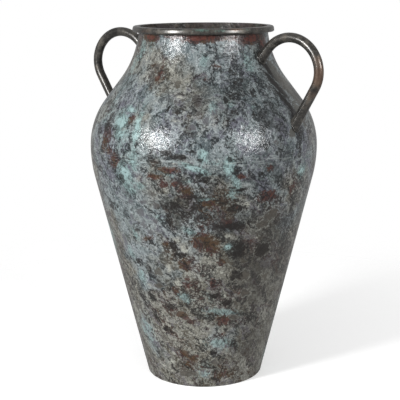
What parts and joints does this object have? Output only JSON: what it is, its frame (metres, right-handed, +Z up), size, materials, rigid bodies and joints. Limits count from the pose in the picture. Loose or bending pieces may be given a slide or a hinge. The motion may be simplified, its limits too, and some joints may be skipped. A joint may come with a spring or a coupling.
{
  "type": "urn vase",
  "caption": "Tall two-handled urn in patinated sheet metal with a rolled rim ring, for dried stems or as a free-standing ornament.",
  "frame": {"origin": "centre of the foot on the floor plane", "axes": "+Z up along the vessel's axis, X through the two handles, -Y the side that both handles are swung towards"},
  "size_m": [0.4676, 0.384, 0.6],
  "materials": {
    "patina_sheet": "mottled grey, verdigris and rust brown patina under clear lacquer",
    "dark_bronze_bar": "dark bronze grey-brown under satin lacquer",
    "plain_base_sheet": "dark brown, matt"
  },
  "bodies": {
    "root": {"lower_body": "patina_sheet", "shoulder_shell": "patina_sheet", "belly_weld": "patina_sheet", "rim_ring": "dark_bronze_bar", "rim_braze": "dark_bronze_bar", "base_disc": "plain_base_sheet", "base_weld": "plain_base_sheet", "handle_left": "dark_bronze_bar", "handle_right": "dark_bronze_bar", "handle_left_neck_weld": "dark_bronze_bar", "handle_left_shoulder_weld": "dark_bronze_bar", "handle_right_neck_weld": "dark_bronze_bar", "handle_right_shoulder_weld": "dark_bronze_bar"}
  },
  "joints": []
}
